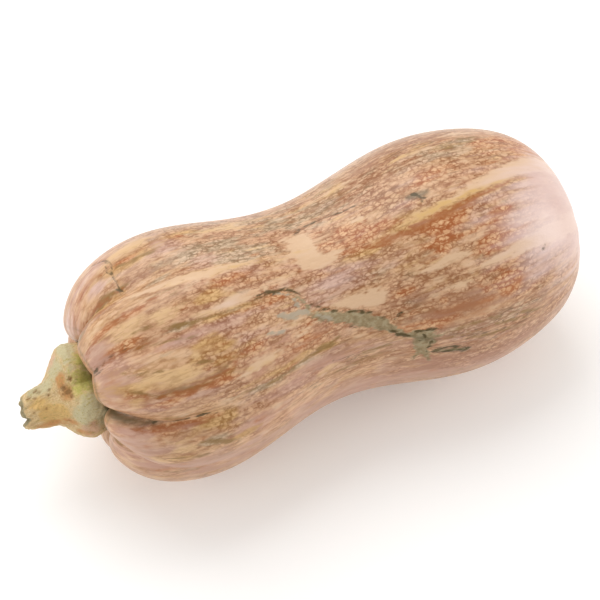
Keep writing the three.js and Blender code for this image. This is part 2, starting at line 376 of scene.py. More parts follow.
# dark lines: the first four strokes and the last, down the crease bottoms near the stem, are painted
# shade; the rest are real dark marks on the skin and at the scar
DARK_LINES_AND_SHADE = [
    [(22, -31, 0.7), (27, -25, 0.8), (32, -20.5, 0.5), (38, -18, 0)],
    [(58, 67, 0), (66, 68.3, 0.4), (80, 68, 0.4)],
    [(38, 25, 0), (41, 24.5, 0.7), (46, 23.5, 0.3), (60, 22, 0.2), (70, 21, 0)],
    [(37, 27.5, 0), (41, 27, 0.7), (45, 26.5, 0.5), (48, 26, 0)],
    [(155, -5, 0), (158, -5.5, 0.9), (163, -8.5, 0.6), (170, -8.5, 0.3), (178, -8, 0.7), (186, -6, 0.6),
     (193, -5, 0.3), (196, -5, 0)],
    [(120, 25, 0.1), (126, 23.2, 0.7), (132, 23.2, 1.1), (138, 23.6, 0.9), (142, 25, 1),
     (145, 27.5, 0.8), (147, 30, 0.2)],
    [(149, 36, 0.2), (151.5, 38, 0.7), (153.5, 39, 0.2)],
    [(152, 41, 0.4), (155, 41.5, 0.8), (158, 43, 0.9), (161, 45, 0.5), (167, 48.3, 0.2),
     (172, 50.3, 0.6), (176, 52, 0.5), (178, 53, 0)],
    [(179, 57, 0.6), (181, 57.5, 0.4)],
    [(185.5, 60, 0.3), (188, 58.5, 0.8), (190, 57, 0.4)],
    [(180, 64.5, 0.2), (183, 66, 0.8), (186, 69.3, 0.9), (189, 71, 1.1), (191.5, 72, 0.2)],
    [(162, 52.5, 0), (165, 56, 0.4), (167.5, 58.5, 0.1)],
    [(194, 70, 0.6), (199, 70, 0.9), (205, 71.5, 0.4)],
    [(201.5, 76, 0.4), (200.5, 80, 0.8), (198.5, 84, 0.6)],
    [(197.5, 72.5, 0.1), (198.5, 75, 0.5), (198, 78, 0.1)],
    [(202, 73.5, 0.1), (203.2, 75.5, 0.4), (202.8, 77.5, 0.1)],
    [(195, 75.5, 0.3), (196, 77, 0.3)],
    [(200, 83.5, 0.5), (206, 84.7, 0.8), (211, 85.3, 0.9), (216, 87, 0.8), (220, 89.5, 0.5)],
    [(201, 86, 0.4), (208, 87.8, 0.7), (214, 89.7, 0.9), (220, 91, 0.6)],
    [(212, 6.5, 0.3), (214, 8, 0.5)],
    [(214.5, 4, 0.6), (216, 5, 0.9), (217.5, 7, 0.7)],
    [(217, 9.5, 0.4), (219, 9, 0.5)],
    [(265.5, 51.5, 0.3), (267.5, 50, 0.4)],
    [(80, 68, 0), (83, 68, 1.2), (86, 68.5, 1), (90, 69.5, 0.6), (96, 70, 0)]]
OCHRE = [
    [(96, 63, 0), (106, 64, 0.5), (114, 66, 0.6), (123, 66, 0.6), (130, 65, 0.7), (140, 63.5, 0.9),
     (148, 61.5, 1.3), (153, 61.8, 1.5), (156, 60.3, 0.7), (160, 59.5, 0)],
    [(148, 81, 0), (160, 81, 0.6), (168, 80, 0.5), (177, 79.5, 0.6), (184, 79, 0)],
    [(160, 76, 0), (170, 75, 0.5), (180, 75, 0.4), (188, 76, 0)],
    [(207, 75, 0), (214, 74.5, 0.8), (222, 74, 0.8), (231, 74, 0.7), (240, 76, 0.6), (246, 77.5, 0.8),
     (256, 82, 0.6), (262, 84, 0)],
    [(218, 81, 0), (226, 83.5, 0.8), (235, 84, 0.6), (242, 85.5, 0.7), (250, 88, 0)],
    [(232, 78.5, 0), (240, 80, 0.7), (249, 82.5, 0.7), (256, 86, 0)],
    [(206, 79, 0), (213, 79, 0.6), (220, 78.5, 0.6), (226, 79, 0)],
    [(98, 24, 0), (104, 24.5, 0.5), (112, 25.3, 0.7), (120, 25, 0.6), (126, 23.5, 0.4)],
    [(36, -4, 0.6), (43, -2, 1.8), (49, -5, 2.2), (54, -11, 2.2), (61, -13.5, 2), (68, -12.5, 1.4),
     (76, -12, 0.4), (84, -13, 0)],
    [(236, -14, 0), (246, -15, 0.8), (256, -17, 0.8), (262, -18, 0)],
    [(246, -20, 0), (254, -21, 0.7), (262, -21, 0.6), (268, -20, 0)],
    [(56, 44, 0), (61, 45.5, 0.7), (69, 50, 0.9), (78, 49.5, 0.9), (87, 52, 0.9), (93, 50.5, 0.8),
     (99, 48, 0.9), (104, 45, 0)],
    [(62, 64, 0), (74, 65.5, 0.5), (86, 66.5, 0.5), (94, 66, 0)],
    [(80, 21.5, 0), (85, 22.3, 1.3), (92, 24, 1.3), (98, 24.7, 0.9), (106, 24.5, 0)],
    [(80, 81, 0), (86, 82, 1.4), (93, 85.5, 1.1), (99, 87, 0)],
    [(62, 87, 0), (69, 87.5, 0.8), (74, 88, 0)],
    [(75, 89, 0), (80, 89, 0.9), (86, 89.5, 0)],
    [(74, -24.5, 0), (80, -22, 0.9), (87, -22, 1.4), (93, -21.5, 0.8), (97, -22, 0)],
    [(86, 8, 0), (93, 9.5, 0.6), (100, 9.5, 0)],
    [(26, 85, 0.4), (36, 89, 0.6), (48, 93, 0)],
    [(60, 105, 0), (70, 108, 0.6), (80, 108, 0)],
    [(86, 41, 0), (91, 41.5, 0.9), (95, 43, 0)],
    [(55, 32, 0), (60, 36, 0.5), (66, 38, 0.7), (72, 38.5, 0.4), (78, 42, 0)],
    [(64, 24, 0), (70, 25.5, 0.6), (78, 27, 0.4), (86, 29, 0.6), (94, 31, 0)],
    [(68, 17.5, 0), (76, 18.5, 0.5), (84, 19.5, 0)],
    [(76, 6, 0), (84, 5.5, 0.5), (92, 6.5, 0.4), (100, 8, 0)]]
# painted shade: down the creases by the stem, round the stem's cavity and along the seam where the stem
# meets the rim. The three strokes between 191 and 221 mm along are real dark spots.
SHADE_AND_DARK_SPOTS = [
    [(20, 56, 1.5), (28, 59.5, 1.9), (36, 62, 1.8), (46, 64.5, 1.4), (56, 66.8, 0.8), (66, 68, 0)],
    [(20, -30, 1), (30, -20, 0.7), (42, -15.5, 0), (54, -13, -1)],
    [(23, -180, 3), (21, -100, 3.5), (24, -30, 3), (26, 30, 3.5), (24, 90, 3), (23, 180, 3)],
    [(212, 5, 1), (217, 6, 1.6), (221, 6, 1)],
    [(191, 72, 0), (196, 75, 1), (202, 77.5, 0.7), (206, 79, -0.6)],
    [(202, 85, -0.4), (208, 86.3, 0.7), (214, 88.3, 0.8), (220, 90.3, -0.4)],
    [(35, -48, -1), (37, -20, -0.2), (38.2, 2, 0), (38.4, 20, 0.2), (38, 38, 0.4), (36, 56, 0.6),
     (35, 80, -0.2), (34, 120, -1)]]
CRACK = [
    [(66.5, -43, 0), (68.8, -38.5, 0.25), (72.1, -36, 0.3), (73.9, -32, 0.35), (74, -27, 0.3),
     (72.6, -23.5, 0.35), (71.6, -20, 0.3), (71.9, -16, 0.3), (71, -11.5, 0.3), (70.5, -9, 0)],
    [(72.6, -33, 0), (71.2, -28.5, 0.3), (70.6, -25, 0.3), (71.8, -21.5, 0.2), (72.2, -19.5, 0)],
    [(69.5, -13.5, 0.2), (71.2, -11.5, 0.7), (72.5, -10, 0.2)]]
LILAC = [
    (60, -36, 26, 5, 1), (51, 34, 12, 10, 1.4), (46, 18, 9, 6, 1.4), (63, -21, 6, 4, 1.2),
    (75, 55.5, 20, 3, 1.1), (113, -4, 10, 5, 1.2), (98, 30, 24, 3.2, 1.3), (98, -24, 7, 6, 1.1),
    (55, 78, 18, 8, 1), (108, 82, 12, 8, 0.9), (75, 98, 40, 8, 1.2), (130, 8, 15, 6, 0.8),
    (115, 40, 14, 5, 0.7), (150, 68.5, 18, 3.5, 1.3), (145, 74, 40, 6, 1), (165, 30, 26, 8, 1.1),
    (190, 31, 15, 5, 0.6), (212, 8, 8, 5, 0.8), (240, 22, 15, 4, 0.8), (239, 24, 7, 4, 1.4),
    (205, 78, 30, 5, 0.6), (285, 26, 18, 10, 0.5), (285, 62, 18, 12, 0.6), (261, 59, 9, 6, 1.3),
    (180, 106, 130, 14, 1.1)]
OLIVE = [
    (89, 23.5, 9, 2.2, 1), (88, 82, 8, 3.5, 1.3), (112, -12, 20, 5, 1.1), (125, -8, 14, 7, 1),
    (131, -1, 14, 6, 1.4), (118, -2, 10, 4, 1.2), (88, -4, 6, 3, 0.9), (170, -18, 35, 9, 0.9),
    (235, -14, 30, 7, 0.8), (190, 36, 10, 6, 0.5), (150, -30, 40, 6, 0.6), (250, -17, 14, 4, 1.1),
    (235, 76, 34, 5, 0.9), (125, 65, 30, 2, 1), (195, 60, 6, 6, 0.7)]
AMBER = [
    (54, -8, 16, 5, 1.5), (104, 16, 8, 3, 1.6), (108, 25.5, 13, 1.5, 1.3), (81, -23.5, 12, 3.5, 1.5),
    (92, 50, 14, 3, 1.3), (90, 41, 5, 4, 1.2), (99, 45, 5, 4, 1.3), (92, 73, 10, 5, 1.4),
    (72, 87.5, 10, 2.5, 1.2), (102, 85.5, 8, 2, 1.1), (72, 44, 26, 9, 0.7), (110, -29, 9, 3, 1.1),
    (150, 61.5, 7, 2.5, 1.3), (130, 61, 26, 2, 1), (215, 17, 20, 4, 1.8), (243, 15, 14, 1.6, 1.6),
    (262, 13, 16, 1.5, 1.6), (160, -28, 50, 7, 0.4), (225, -23, 30, 8, 0.4), (185, 20, 12, 3, 0.8),
    (255, 34, 6, 3, 0.8), (97, 37, 9, 5, 1.3), (80, 50, 14, 3, 0.8)]
EMBER = [
    (58, 9, 10, 2.2, 1.2), (72, 8.5, 10, 1.8, 1.1), (64, 20.5, 12, 2.5, 0.9), (80, -24, 7, 1.8, 1.4),
    (73, 71.3, 13, 2.2, 1.6), (108, -26, 5, 2, 1), (75, 54, 14, 3, 0.7), (96, 53, 14, 3, 0.8),
    (110, 44, 15, 5, 0.6), (120, 12, 20, 3, 0.7), (132, 28, 8, 4, 1), (146, 54, 20, 4, 0.7),
    (150, 52, 24, 6, 0.6), (183, 10, 22, 8, 1.1), (192, 47, 8, 3, 1), (210, 57.5, 2, 1.5, 1.4),
    (223, 24, 14, 5, 1.5), (225, 29, 30, 8, 0.6), (250, 27, 9, 2.5, 1.5), (249, 36, 10, 4, 1.4),
    (240, 41, 10, 3, 1.2), (217, 31, 4, 6, 1.3), (222, 2, 20, 5, 0.55), (215, 65, 32, 6, 0.9),
    (231, 59, 3, 2, 1.4), (243, 60, 7, 8, 1.7), (247, 36, 14, 6, 1.3), (278, -14, 26, 12, 0.9)]
STRAW = [
    (84, -32, 13, 4, 1.4), (68, 15.5, 11, 4, 1.4), (84, 16, 10, 3.5, 1.4), (71, 40, 10, 4, 1.3),
    (82, 44, 12, 4.5, 1.5), (97, 21, 8, 2.5, 1), (89, 38.5, 3, 2, 1.2), (74, 82, 9, 4, 1.3),
    (102, 3.5, 22, 3, 1.3), (74, -1.5, 12, 1.5, 1), (109, 21.5, 10, 3, 1.2), (107, 17, 6, 2, 0.7),
    (62, 88, 8, 3, 0.8), (97, 59, 8, 2, 0.8), (120, 52, 10, 3, 0.8), (132, -26, 16, 5, 0.9),
    (136, -4, 12, 1.2, 0.9), (140, 18, 12, 1.5, 0.9), (132, 14, 18, 1, 0.8), (152, 77, 9, 2.2, 1.2),
    (150, -24, 40, 5, 0.5), (187, 18, 9, 1, 0.9), (190, -25, 12, 3, 0.8), (230, -20, 12, 2, 0.9)]
# painted shade: darker brown patches, most on the bulb's underside and lower front; partly darker skin
SHADE_AND_DARK_SKIN = [
    (81, -12.5, 10, 4, 1.3), (54, -6, 14, 5, 1.3), (61, 46, 5, 1.5, 1.1), (69, 50, 7, 1.8, 1.2),
    (80, 50, 9, 1.8, 1.2), (90, 51, 8, 2, 1.2), (99, 47, 4, 3, 1.1), (91, 42, 4, 3, 1),
    (240, 92, 60, 14, 1.3), (222, 64, 32, 9, 0.9), (228, 76, 40, 8, 1.2), (190, 82, 30, 5, 0.9),
    (258, 72, 20, 9, 1), (165, 80, 40, 8, 0.6), (230, -28, 50, 14, 1), (204, -16, 30, 10, 1.5),
    (235, 93, 40, 12, 0.9), (194, 50, 14, 5, 1.2), (212, 61, 26, 8, 1.1), (50, 32, 11, 10, 0.5),
    (97, 37, 8, 4, 0.9)]
SMOOTH = [
    (180, 108, 150, 18, 1), (80, 100, 50, 10, 1.1), (38, 20, 14, 60, 1), (48, 18, 9, 5, 1.2),
    (47, 42, 12, 15, 1.3), (88, 29, 22, 1.6, 0.9), (60, -35, 34, 9, 1), (50, 80, 22, 9, 1.1),
    (97, -27, 5, 7, 1), (112, 84, 14, 9, 0.9), (40, -40, 14, 30, 1), (290, 30, 22, 60, 1),
    (218, 63, 28, 8, 1.2), (180, -48, 150, 12, 0.6), (330, 0, 12, 400, 1.2), (126, 55, 28, 10, 0.7),
    (150, 71, 26, 5, 1)]
VEINED = [(232, 80, 36, 8, 1), (155, 76, 40, 8, 0.5), (232, -22, 36, 9, 0.6), (150, -16, 50, 8, 0.5)]
DRAWN = [
    (38, 0, 48, 400, 1.3), (230, 78, 42, 9, 1.2), (165, 82, 60, 16, 1.3), (120, 104, 80, 14, 1.3),
    (240, -30, 60, 10, 0.8)]
# painted highlight: a pale pink wash at the blossom end where the right lamp shines, and on the rims of
# the lobes near the stem, over the skin's own pale wax bloom
BLOOM_AND_HIGHLIGHT = [
    (290, 36, 40, 32, 1.3), (305, -15, 20, 26, 0.5), (48, 17, 9, 7, 0.1), (62, -22, 6, 5, 0.5),
    (36, -34, 12, 8, 0.6), (56, -34, 24, 7, 0.2), (97, -27, 6, 8, 0.4), (48, 79, 18, 9, 0.2),
    (88, 29, 22, 2, 0.3), (113, 82, 14, 9, 0.2), (113, 22, 9, 2.5, 0.4), (169, 27, 14, 6, 0.35)]


# the side turned away, from the back round underneath, as degrees round and mm along
AWAY_SIDE = (126, 312)
STROKES_ALONG = (45, 290)
PATCHES_ALONG = (50, 290)


def more_strokes(seed, count, longest, widest):
    """Strokes for the side turned away: seeded places, drawn along the fruit with tapering
    ends."""
    rng = np.random.default_rng(seed)
    strokes = []
    for _ in range(count):
        start, turn = rng.uniform(*STROKES_ALONG), rng.uniform(*AWAY_SIDE)
        length, width = longest * rng.uniform(0.3, 1), widest * rng.uniform(0.4, 1)
        drift = rng.uniform(-2.5, 2.5)
        strokes.append([
            (start, turn, 0), (start + 0.3 * length, turn + 0.4 * drift, width),
            (start + 0.7 * length, turn + 0.8 * drift, 0.8 * width),
            (start + length, turn + drift, 0)])
    return strokes


def more_patches(seed, count, longest, widest):
    """Seeded soft patches for the same side."""
    rng = np.random.default_rng(seed)
    return [
        (rng.uniform(*PATCHES_ALONG), rng.uniform(*AWAY_SIDE), longest * rng.uniform(0.4, 1),
         widest * rng.uniform(0.4, 1), rng.uniform(0.8, 1.2)) for _ in range(count)]


# where the fruit lay on the ground as it grew: a smooth pale patch on the far side
GROUND_SPOT = (222, 205, 52, 26, 1.5)
for strokes, seed, count, longest, widest in (
        (CREAM, 11, 26, 60, 3), (RUST, 12, 24, 60, 1.8), (DARK_LINES_AND_SHADE, 13, 9, 26, 0.9)):
    strokes.extend(more_strokes(seed, count, longest, widest))
for patches, seed, count, longest, widest in (
        (LILAC, 14, 16, 36, 9), (OLIVE, 15, 14, 36, 9), (AMBER, 16, 16, 30, 6),
        (EMBER, 17, 18, 30, 8), (STRAW, 18, 12, 22, 4), (SMOOTH, 19, 5, 50, 9)):
    patches.extend(more_patches(seed, count, longest, widest))
STRAW.append(GROUND_SPOT)
SMOOTH.append(GROUND_SPOT)

# patches on the stem, measured from the middle of its base
MOSS = [
    (31, -3, 3, 3, 1.3), (33, 22, 6, 7.5, 1.3), (37, 31, 3.5, 3.5, 1.3), (30, 150, 4, 10, 0.9),
    (31, 235, 4, 8, 0.8)]
DEEP = [
    (37, 19.5, 1.8, 1.3, 1.1), (31.5, 16, 1.6, 1.6, 1), (34, 27, 2, 0.8, 0.9), (30, 8, 1.6, 2, 0.8),
    (30, 38, 1.6, 2, 0.8), (30, 150, 2, 4, 1), (31, 235, 2, 4, 1)]
ROT = [
    (38.5, 14, 1.5, 1.5, 1.5), (44.2, 20, 2.8, 2, 1.45), (42.6, 29, 3.4, 2.4, 1.5),
    (41.5, 37, 1.6, 1.4, 1.3), (46.5, 29, 1.4, 1, 1.2), (47, 88, 2, 1, 0.9), (59.7, -16, 1.6, 1, 1),
    (58, -6, 1.8, 1.2, 1), (53, 3.5, 1.2, 0.9, 1), (54, 14.5, 1.2, 0.9, 1), (57.4, 46, 1.2, 1, 0.9),
    (63, 45, 1, 0.8, 0.9), (61, 5, 1.4, 1, 1), (64, -5, 1.8, 1.2, 1), (50, 190, 3, 2, 0.9),
    (45, 150, 2, 2, 0.9), (41, 250, 2, 2, 0.9), (58, 160, 1.5, 1, 0.9), (56, 270, 1.5, 1, 0.9)]
# russet brown; the three patches round the shaft's underside, 88 to 108 degrees, are painted shade
RUSSET_AND_UNDERSIDE_SHADE = [
    (44.7, 6, 4, 4, 1.8), (43.5, 29, 6, 5.5, 1.4), (56, 100, 10, 3.5, 1.4), (46.5, 88, 6, 3, 1.4),
    (40, 108, 6, 3, 1.2), (48, 215, 4, 3, 0.9)]
# grey green weathering on the lobes; the patches on the shaft's upper side, 45 to 60 mm along and -10 to
# -20 degrees, are painted shade
GREY_AND_SHADE = [
    (34, 55, 6, 8, 1.2), (36, -9, 5, 6, 0.8), (37, 68, 8, 10, 1.1), (30, 80, 5, 14, 0.9),
    (60, -20, 8, 5, 0.9), (45, -12, 8, 7, 0.9), (54, -10, 6, 5, 1), (36, 210, 8, 12, 1),
    (35, -25, 6, 8, 1), (36, 3, 4, 4, 0.7)]
GOLD = [
    (54, 64, 9, 6, 1.2), (60, 30, 6, 6, 0.8), (54, 90, 6, 3, 0.8), (50, 250, 8, 5, 0.8),
    (36, 42, 4, 2.5, 0.9)]
BLUSH = [(36, 100, 6, 7, 1.1), (44, -33, 5, 4, 1.2), (56, -25, 6, 4, 0.8)]


STROKES = {
    "cream": CREAM, "rust": RUST, "scar": SCAR, "healed": HEALED, "dark_lines_and_shade": DARK_LINES_AND_SHADE, "crack": CRACK,
    "shade_and_dark_spots": SHADE_AND_DARK_SPOTS, "ochre": OCHRE}
PATCHES = {
    "lilac": LILAC, "olive": OLIVE, "amber": AMBER, "ember": EMBER, "straw": STRAW,
    "shade_and_dark_skin": SHADE_AND_DARK_SKIN, "smooth": SMOOTH, "drawn": DRAWN, "bloom_and_highlight": BLOOM_AND_HIGHLIGHT, "veined": VEINED}
STEM_PATCHES = {
    "moss": MOSS, "deep": DEEP, "rot": ROT, "russet_and_underside_shade": RUSSET_AND_UNDERSIDE_SHADE, "grey": GREY_AND_SHADE, "gold": GOLD,
    "blush": BLUSH}
# the cylinder that the fruit's grain is laid out on, and where it closes in with the skin
GRAIN_RADIUS = 50
GRAIN_CLOSES = (285, 322)


def fields(body, wide, strokes, patches, others):
    """Every pattern's place on a body, as one value for each point. The grain is laid out on
    a tube of radius wide, as three numbers: across, across and along."""
    around = wide * np.cos(body.theta), wide * np.sin(body.theta)
    return {
        "grain": np.stack(np.broadcast_arrays(*around, body.s), axis=-1),
        **{name: marks(strokes[name], *body.spot) for name in strokes},
        **{name: clouds(patches[name], *body.spot) for name in patches}, **others}


def skin_fields(skin):
    """The fruit's strokes and patches, and how deep in a crease a point lies."""
    closing = ease(skin.s, *GRAIN_CLOSES)
    wide = GRAIN_RADIUS - (GRAIN_RADIUS - skin.r) * closing
    return fields(skin, wide, STROKES, PATCHES, {"crease": skin.crease})


def stem_fields(stalk):
    """The stem's patches, its valleys and where it touches the fruit, both given painted shade, and
    where it is broken.
    """
    everywhere = 0 * stalk.theta
    return fields(stalk, stalk.r, {}, STEM_PATCHES, {
        "valley": (1 - stalk.lobe) * (1 - ease(stalk.out, 15, 30)),
        "contact": 1 - ease(stalk.out + everywhere, 1.5, 5.5),
        "tip": ease(stalk.s + everywhere, 64, 70)})


# heights, depths and places of the small forms, mm
SWELL_HEIGHT, RIB_HEIGHT, SCAR_HEIGHT, HEALED_HEIGHT = 0.3, 0.12, 0.35, 0.2
INK_DEPTH, CRACK_DEPTH = 0.3, 0.4
BUTTON_HEIGHT, BUTTON_HOLLOW = 0.6, 0.9
PUCKERS, PUCKER_HEIGHT, PUCKER_PLACE, PUCKER_WIDTH = 9, 0.3, 11, 4.5
LUMP_HEIGHT, RIDGE_HEIGHT, CRUMB_HEIGHT, PIT_DEPTH = 0.45, 0.3, 0.15, 0.5
DISH_DEPTH, JAG_HEIGHT = 1.6, 0.6
# how many times longer ribs and ridges are than plain ripples
DRAWN_OUT = 3


def skin_relief(skin):
    """Height of the small forms over the plain skin, mm: slow swells and faint long ribs, the
    corky scar standing up, the cracks sunk, and at the blossom end a corky button with a
    dimple, in a ring of puckers. left is the mm still to go to the middle of that end."""
    s, theta, _ = spot = skin.spot
    swells = SWELL_HEIGHT * ripples(s, theta, seed=3, waves=12, reach=4, length=60)
    ribs = RIB_HEIGHT * ripples(s / DRAWN_OUT, theta, seed=8, waves=12, reach=22, length=60)
    left = skin.length - s
    scar = SCAR_HEIGHT * ease(marks(SCAR, *spot), -0.9, 1.0)
    scar = scar + HEALED_HEIGHT * ease(marks(HEALED, *spot), -0.8, 0.8)
    sunk = INK_DEPTH * ease(marks(DARK_LINES_AND_SHADE, *spot), -0.9, 0.6)
    sunk = sunk + CRACK_DEPTH * ease(marks(CRACK, *spot), -0.9, 0.3)
    button = BUTTON_HEIGHT * ease(left, 6.5, 4.8) - BUTTON_HOLLOW * ease(left, 2.2, 0.8)
    waver = 0.8 * ripples(s, theta, seed=4, waves=6, reach=2, length=20)
    folds = np.cos(PUCKERS * theta + waver)
    puckers = PUCKER_HEIGHT * folds * np.exp(-((left - PUCKER_PLACE) / PUCKER_WIDTH) ** 2)
    plain = (swells + ribs) * ease(s, 20, 50) * ease(left, 2, 14)
    rough = (scar - sunk) * ease(s, 20, 34)
    return plain + rough + button + puckers


def stem_relief(stalk):
    """Height of the small forms on the stem, mm: lumps, woody ridges along the shaft and
    pits where it rotted, all fading out at the two ends of the grid."""
    s, theta, r = stalk.spot
    lumps = LUMP_HEIGHT * ripples(s, theta, seed=5, waves=12, reach=4, length=12)
    ridges = ease(stalk.out, 8, 20) * RIDGE_HEIGHT
    ridges = ridges * ripples(s / DRAWN_OUT, theta, seed=6, waves=14, reach=14, length=10)
    crumbs = CRUMB_HEIGHT * ripples(s, theta, seed=7, waves=24, reach=24, length=2.5)
    pits = PIT_DEPTH * clouds(ROT, s, theta, r)
    return (lumps + ridges + crumbs - pits) * ease(s, 4, 14) * ease(r, 1, 6)


def broken_tip(stalk):
    """How far the tip is broken back along the stem, mm: a shallow dish with a jagged floor
    and one notch across it, level with a point NOTCH_LEVEL off the axis."""
    s, theta, r = stalk.spot
    level = r * np.sin(theta - math.radians(NOTCH_TURN))
    notch = NOTCH_DEPTH * np.exp(-((level - NOTCH_LEVEL) / NOTCH_WIDTH) ** 2)
    dish = DISH_DEPTH * (1 - ease(r, 2, 7.5)) * ease(s, 66, 70)
    jags = JAG_HEIGHT * ripples(s, theta, seed=9, waves=16, reach=9, length=3)
    return (notch + jags) * ease(stalk.out, 30, 36) * ease(r, 0, 3) + dish


# ---- finishes ----

# a Mix node's sockets, for colours and for numbers
MIX_A, MIX_B, MIX_RESULT = 6, 7, 2
NUMBER_A, NUMBER_B = 2, 3
# what sets each noise apart from the one before it
NOISE_STEP = (7, 3, 5)
# cells of the net, mm across and along the fruit: round ones, and long ones where DRAWN is
ROUND_CELL, LONG_CELL = (1.6, 3.1), (1.6, 6)
# how fast its lines widen away from a cell's middle, and how softly a cell begins
ROUNDING = 0.38
CELL_EDGE = (-0.19, 0.33)
# the noise that pushes the net about: its size in mm, and the mm that its whole range moves
WANDER_SIZE, WANDER_PUSH = 2.2, (2.2, 2.2, 3.2)
WAX_ROUGHNESS, SCAR_DULLNESS, CORK_ROUGHNESS = 0.34, 0.45, 0.75
PLANT_IOR = 1.45


def hue(code):
    """An sRGB hex colour as linear red, green and blue, and 1."""
    parts = [int(code[i:i + 2], 16) / 255 for i in (0, 2, 4)]
    linear = [p / 12.92 if p <= 0.04045 else ((p + 0.055) / 1.055) ** 2.4 for p in parts]
    return (*linear, 1)


def settle(node, values):
    """Gives a node's sockets their values."""
    for key, value in values.items():
        node.inputs[key].default_value = value


def add(tree, kind, props, values, links):
    """Adds a shader node with its properties, its input values and its links, and gives it."""
    new = tree.nodes.new("ShaderNode" + kind)
    for key, value in props.items():
        setattr(new, key, value)
    settle(new, values)
    for key, output in links.items():
        tree.links.new(output, new.inputs[key])
    return new


def fresh(name, surfaces):
    """A new material, its node tree, its shader, and the named values read off the mesh."""
    material = bpy.data.materials.new(name)
    material.use_nodes = True
    tree = material.node_tree
    out = {}
    for field in surfaces:
        read = add(tree, "Attribute", {"attribute_name": field}, {}, {})
        out[field] = read.outputs["Vector" if field == "grain" else "Fac"]
    return material, tree, tree.nodes["Principled BSDF"], out


def scatter(tree, out, sizes):
    """Noises by the size of what they draw: mm across and along the fruit, and detail."""
    for k, (name, (across, along, detail)) in enumerate(sizes.items()):
        place = add(
            tree, "Mapping", {},
            {"Scale": (1 / across, 1 / across, 1 / along),
             "Location": [k * step for step in NOISE_STEP]},
            {"Vector": out["grain"]})
        noise = add(
            tree, "TexNoise", {}, {"Scale": 1, "Detail": detail}, {"Vector": place.outputs[0]})
        out[name] = noise.outputs["Fac"]


def mask(tree, out, rules):
    """Masks: a value taken from low to high as 0 to strength. The value is a noise, or a
    field plus a noise times its reach."""
    for name, (first, *more, low, high, strength) in rules.items():
        value = out[first]
        if more:
            noise, reach = more
            both = add(
                tree, "Math", {"operation": "MULTIPLY_ADD"}, {1: reach},
                {0: out[noise], 2: value})
            value = both.outputs[0]
        step = add(
            tree, "MapRange", {"interpolation_type": "SMOOTHSTEP"},
            {"From Min": low, "From Max": high, "To Max": strength}, {"Value": value})
        out[name] = step.outputs[0]


def combine(tree, out, sums):
    """Masks worked out of others, or of numbers and others."""
    for name, (operation, *parts) in sums.items():
        values, links = {}, {}
        for k, part in enumerate(parts):
            if part in out:
                links[k] = out[part]
            else:
                values[k] = part
        out[name] = add(tree, "Math", {"operation": operation}, values, links).outputs[0]


def paint(tree, out, ground, layers):
    """Colours laid over a ground colour, each through its mask. A colour may be the name of
    one worked out before."""
    painted = None
    for code, cover in layers:
        values, links = {}, {0: out[cover]}
        if painted is None:
            values[MIX_A] = hue(ground)
        else:
            links[MIX_A] = painted
        if code in out:
            links[MIX_B] = out[code]
        else:
            values[MIX_B] = hue(code)
        mixed = add(tree, "Mix", {"data_type": "RGBA"}, values, links)
        painted = mixed.outputs[MIX_RESULT]
    return painted


def emboss(tree, shader, out, heights):
    """Tilts the shading to small heights, each a mask and the mm it stands for."""
    bent = None
    for name, height in heights:
        bump = add(
            tree, "Bump", {}, {"Strength": 1, "Distance": height * MM},
            {"Height": out[name], **({"Normal": bent} if bent else {})})
        bent = bump.outputs[0]
    tree.links.new(bent, shader.inputs["Normal"])


def net(tree, out, name, across, along):
    """A net of cells across by along mm. Gives how far inside a cell's edge a point lies,
    less the width of the dark lines, which widen away from a cell's middle and so round its
    corners, and a random number for each cell."""
    place = add(
        tree, "VectorMath", {"operation": "MULTIPLY"},
        {1: (1 / across, 1 / across, 1 / along)}, {0: out["pushed"]})
    border = add(
        tree, "TexVoronoi", {"feature": "DISTANCE_TO_EDGE"}, {"Scale": 1},
        {"Vector": place.outputs[0]})
    middle = add(tree, "TexVoronoi", {}, {"Scale": 1}, {"Vector": place.outputs[0]})
    tint = add(tree, "SeparateColor", {}, {}, {0: middle.outputs["Color"]})
    out["border"], out["middle"] = border.outputs["Distance"], middle.outputs["Distance"]
    combine(tree, out, {
        "line_width": ("MULTIPLY_ADD", "middle", ROUNDING, "width"),
        "inside": ("SUBTRACT", "border", "line_width")})
    mask(tree, out, {name: ("inside", *CELL_EDGE, 1)})
    out[name + "_tint"] = tint.outputs[0]


